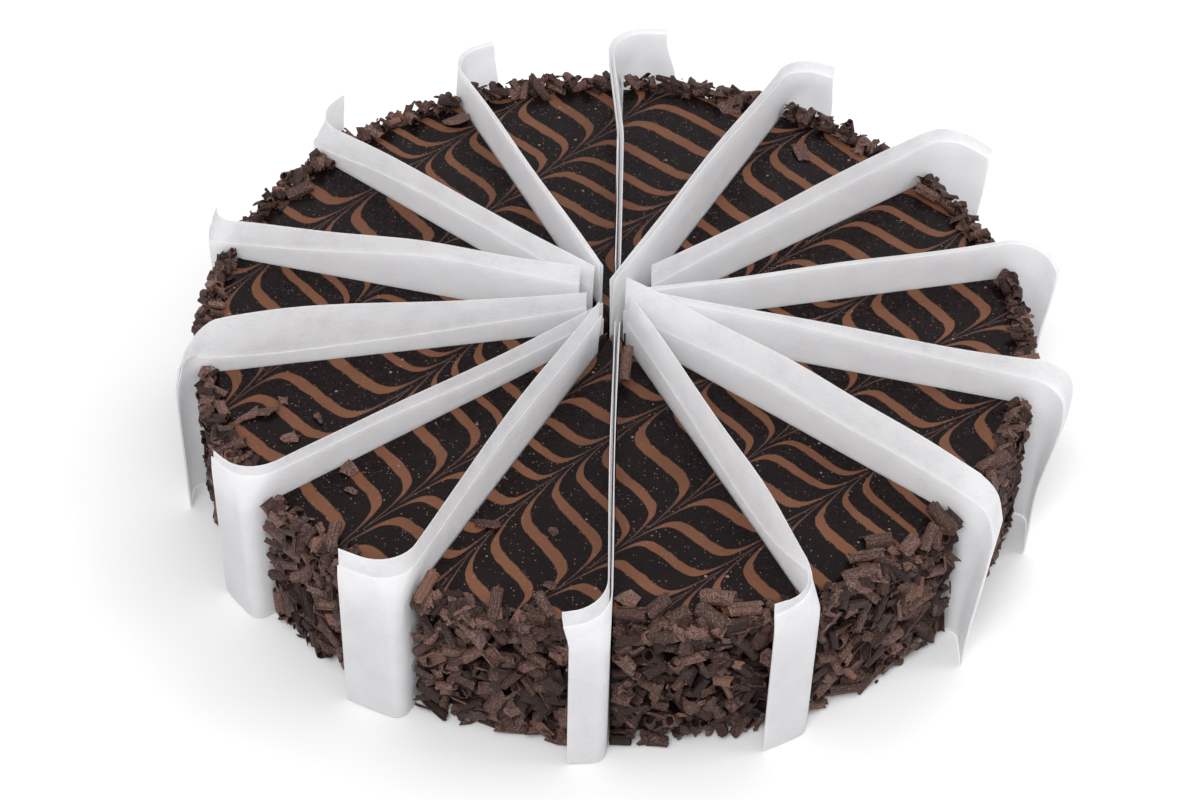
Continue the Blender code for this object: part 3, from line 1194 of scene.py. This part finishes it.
def paper_divider(number, cake, papers, look):
    """A sheet folded in half along its bottom edge, stood in its cut, its outer end folded along the side."""
    opening, *edges = DIVIDERS[number][-3:]
    chance = random.Random(PAPER_SEED + number)
    tight, loose, loosens_at = sheet_plans(number)
    tight_side, loose_side = sides_of(tight), sides_of(loose)
    tops = []  # the height of each layer's top edge along the sheet
    for edge in edges:
        ripple = RIPPLE * np.sin(chance.uniform(60, 120) * loose[:, 0] + chance.uniform(0, 6))
        tops.append(cake.glaze_height + top_edge(edge, loose) + ripple)
    waves = [(chance.uniform(20, 60), chance.uniform(0, 6), chance.uniform(0.1, 0.35)) for _ in range(3)]
    bearing = bearing_of(number)
    away, round_ = outward(bearing), clockwise(bearing)
    columns = STRAIGHT_COLUMNS + FOLD_COLUMNS + FLAP_COLUMNS
    rows = 2 * LAYER_ROWS
    deselect_all()
    bpy.ops.mesh.primitive_grid_add(x_subdivisions=columns, y_subdivisions=rows, size=1.0)
    piece = bpy.context.object
    piece.name = piece.data.name = f"paper_divider_{number + 1:02d}"
    over = []  # how far each point is above the other layer's top edge, mm
    for vertex in piece.data.vertices:
        column = round((vertex.co.x + 0.5) * columns)
        row = round((vertex.co.y + 0.5) * rows) - LAYER_ROWS
        layer = 1 if row > 0 else 0
        share = 1.0 - (1.0 - abs(row) / LAYER_ROWS) ** 1.25
        height = SHEET_BASE + (tops[layer][column] - SHEET_BASE) * share
        over.append((height - tops[1 - layer][column]) / MM)
        above = max(0.0, height - cake.glaze_height)
        freed = limited((height - loosens_at) / (LOOSENING[1] - loosens_at))
        freed = freed * freed * (3.0 - 2.0 * freed)
        along, across = tight[column] * (1.0 - freed) + loose[column] * freed
        side = tight_side[column] * (1.0 - freed) + loose_side[column] * freed
        gap = min(LAYER_GAP, share * 2 * MM) + 0.5 * opening * MM * (above / OPENS_BY) ** 1.5
        sway = sum(size * math.sin(pitch * along + shift) for pitch, shift, size in waves)
        sideways = (gap if layer else -gap) + sway * above * SWAY
        along += side[0] * sideways
        across += side[1] * sideways
        outer = limited(2.5 * column / STRAIGHT_COLUMNS - 1.5)
        across += LEANING.get(number, 0.0) * MM * outer * min(1.0, above / LEANS_BY)
        vertex.co = away * along + round_ * across + UP * height
    set_attribute(piece, "over_edge", np.array(over))
    piece.data.materials.append(look)
    apply_modifier(piece, "SOLIDIFY", thickness=papers.wall, offset=0.0)
    smooth_to(piece, 60)
    return piece


# -------- the studio


def soft_light(name, watts):
    place, size = LIGHTS[name]
    bpy.ops.object.light_add(type="AREA", location=place)
    light = bpy.context.object
    light.name = name
    light.data.size = size
    light.data.energy = watts
    light.rotation_euler = (-Vector(place)).to_track_quat("-Z", "Y").to_euler()
    return light


def add_camera(studio):
    """The camera at the photograph's viewing angle."""
    bpy.ops.object.camera_add(location=CAMERA_PLACE)
    camera = bpy.context.object
    camera.name = "main_camera"
    camera.data.lens = studio.lens
    camera.data.sensor_width = 36.0
    down, left, tilt = (math.radians(angle) for angle in (CAMERA_DOWN, CAMERA_LEFT, CAMERA_TILT))
    ahead = Vector((-math.sin(left) * math.cos(down), math.cos(left) * math.cos(down), -math.sin(down)))
    right = ahead.cross(UP).normalized()
    up = right.cross(ahead)
    turned = Matrix((swung(right, up, tilt), swung(up, -right, tilt), -ahead)).transposed()
    camera.rotation_euler = turned.to_euler()
    bpy.context.scene.camera = camera


# -------- operators


class CAKE_OT_slices(bpy.types.Operator):
    """Model the whole cake and cut it into its slices"""

    bl_idname = "truffle_cake.slices"
    bl_label = "Cake slices"

    def execute(self, context):
        cake = context.scene.cake_settings
        looks = (glaze_material(cake), coat_material(cake), truffle_material(cake))
        whole = whole_cake(cake)
        for number in range(SLICES):
            piece = cut_slice(whole, number, cake, looks)
            map_feather(piece)
            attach(piece, "root")
            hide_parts(f"slice_{number + 1:02d}")
        bpy.data.objects.remove(whole)
        return {"FINISHED"}


class CAKE_OT_curls(bpy.types.Operator):
    """Lay the coat of chocolate curls, shards and crumbs on the side and the rim"""

    bl_idname = "truffle_cake.curls"
    bl_label = "Chocolate curls"

    def execute(self, context):
        cake = context.scene.cake_settings
        curls = context.scene.curl_settings
        chance = random.Random(COAT_SEED)
        piles = {}
        for kind, (_, shape, count) in PILES.items():
            piles[kind] = Pile([shape(chance) for _ in range(count)])
        lay_side(chance, piles, curls, cake)
        lay_rim(chance, piles, curls, cake)
        lay_standing_out(chance, piles, cake)
        fill_back(chance, piles, curls, cake)
        look = curl_material(curls)
        for kind, pile in piles.items():
            pile.piece(PILES[kind][0], look)
        return {"FINISHED"}


class CAKE_OT_papers(bpy.types.Operator):
    """Fold the paper dividers and stand them in the cuts"""

    bl_idname = "truffle_cake.papers"
    bl_label = "Paper dividers"

    def execute(self, context):
        papers = context.scene.paper_settings
        look = paper_material(papers)
        for number in range(SLICES):
            piece = paper_divider(number, context.scene.cake_settings, papers, look)
            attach(piece, "root")
            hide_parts(f"divider_{number + 1:02d}")
        return {"FINISHED"}


class CAKE_OT_studio(bpy.types.Operator):
    """Make the floor, the soft lights and the camera"""

    bl_idname = "truffle_cake.studio"
    bl_label = "Studio"

    def execute(self, context):
        studio = context.scene.studio_settings
        deselect_all()
        bpy.ops.mesh.primitive_circle_add(vertices=96, radius=FLOOR_RADIUS, fill_type="NGON")
        floor = context.object
        floor.name = "studio_floor"
        floor.data.materials.append(floor_material(studio))
        world = bpy.data.worlds.new("pale_room")
        world.use_nodes = True
        sky = world.node_tree.nodes["Background"]
        sky.inputs["Color"].default_value = (1.0, 0.99, 1.0, 1.0)
        sky.inputs["Strength"].default_value = studio.sky
        context.scene.world = world
        soft_light("key_light", studio.key)
        soft_light("fill_light", studio.fill)
        behind = soft_light("back_light", studio.back)
        behind.visible_glossy = False  # it shines through the papers without a sheen on the glaze
        add_camera(studio)
        context.scene.view_settings.view_transform = "Standard"
        return {"FINISHED"}


class CAKE_PT_panel(bpy.types.Panel):
    """Buttons that make the cake, in order"""

    bl_idname = "CAKE_PT_panel"
    bl_label = "Chocolate truffle cake"
    bl_space_type = "VIEW_3D"
    bl_region_type = "UI"
    bl_category = "Cake"

    def draw(self, context):
        for operator in OPERATORS:
            self.layout.operator(operator.bl_idname)
        for name in SETTINGS:
            box = self.layout.box()
            settings = getattr(context.scene, name)
            for prop in settings.bl_rna.properties:
                if not prop.is_readonly and prop.identifier != "name":
                    box.prop(settings, prop.identifier)


OPERATORS = (CAKE_OT_slices, CAKE_OT_curls, CAKE_OT_papers, CAKE_OT_studio)
SETTINGS = {
    "cake_settings": CakeSettings,
    "curl_settings": CurlSettings,
    "paper_settings": PaperSettings,
    "studio_settings": StudioSettings,
}
CLASSES = (*SETTINGS.values(), *OPERATORS, CAKE_PT_panel)


def register():
    for kind in CLASSES:
        bpy.utils.register_class(kind)
    for name, kind in SETTINGS.items():
        setattr(bpy.types.Scene, name, PointerProperty(type=kind))


def unregister():
    for name in SETTINGS:
        delattr(bpy.types.Scene, name)
    for kind in reversed(CLASSES):
        bpy.utils.unregister_class(kind)


def main():
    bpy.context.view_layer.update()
    register()
    bpy.ops.truffle_cake.slices()
    bpy.ops.truffle_cake.curls()
    bpy.ops.truffle_cake.papers()
    bpy.ops.truffle_cake.studio()


if __name__ == "__main__":
    main()
